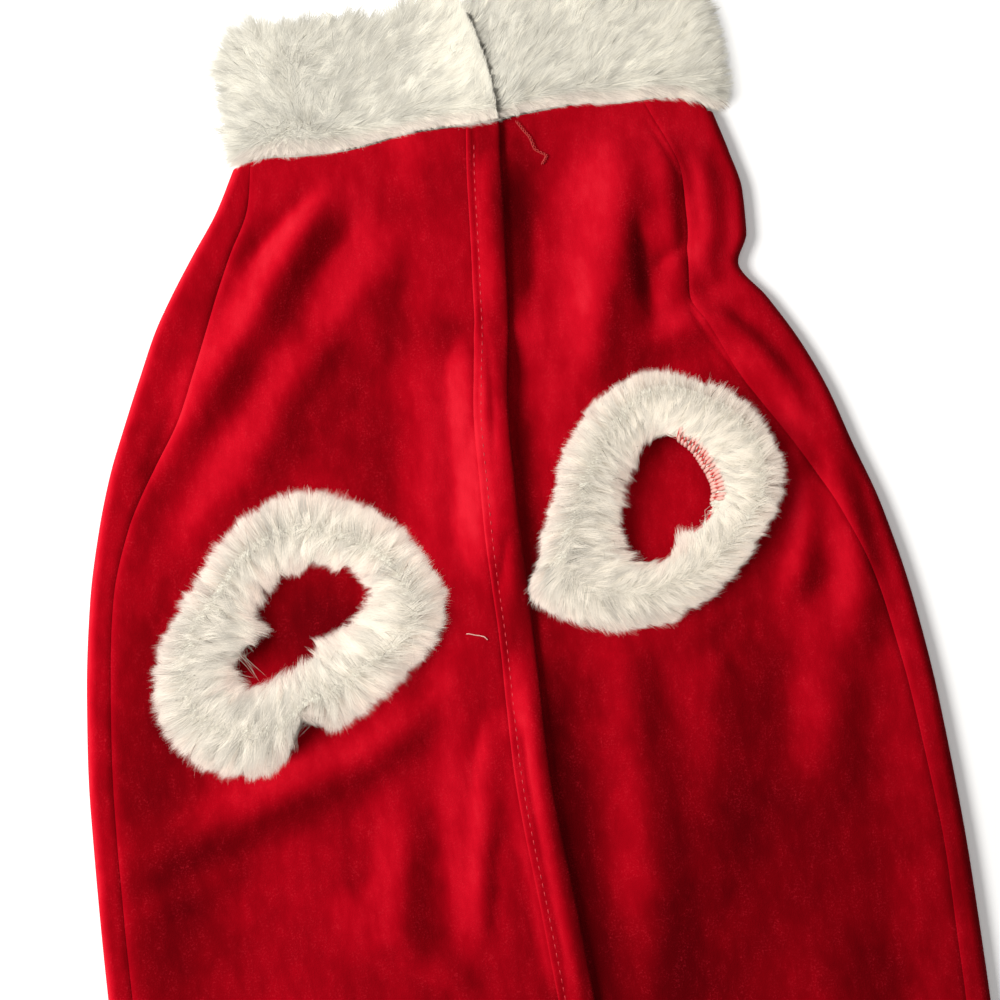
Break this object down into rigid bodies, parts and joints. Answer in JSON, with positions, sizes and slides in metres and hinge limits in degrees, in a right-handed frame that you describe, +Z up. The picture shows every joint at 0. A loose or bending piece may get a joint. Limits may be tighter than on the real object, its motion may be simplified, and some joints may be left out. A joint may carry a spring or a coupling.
{
  "type": "dog dress with fur trim",
  "caption": "Velour dog dress laid flat on its back: overlapping belly fronts, furry neck band, fur cuffs round the leg holes, plain turned hem.",
  "frame": {"origin": "middle of the underside of the laid-out dress's bounding box, on the surface it lies on", "axes": "+Y along the dress from hem to neck, +X across it to the right of someone looking down on the belly side, +Z up out of the belly side"},
  "size_m": [0.312, 0.435, 0.0257],
  "materials": {
    "velour": "brushed red polyester velour with a short nap",
    "fur": "long-pile cream faux fur"
  },
  "bodies": {
    "root": {"back_panel": "velour", "front_panel_left": "velour", "front_panel_right": "velour", "placket_left": "velour", "placket_right": "velour", "fur_collar": "fur", "fur_cuff_left": "fur", "fur_cuff_right": "fur"}
  },
  "joints": []
}
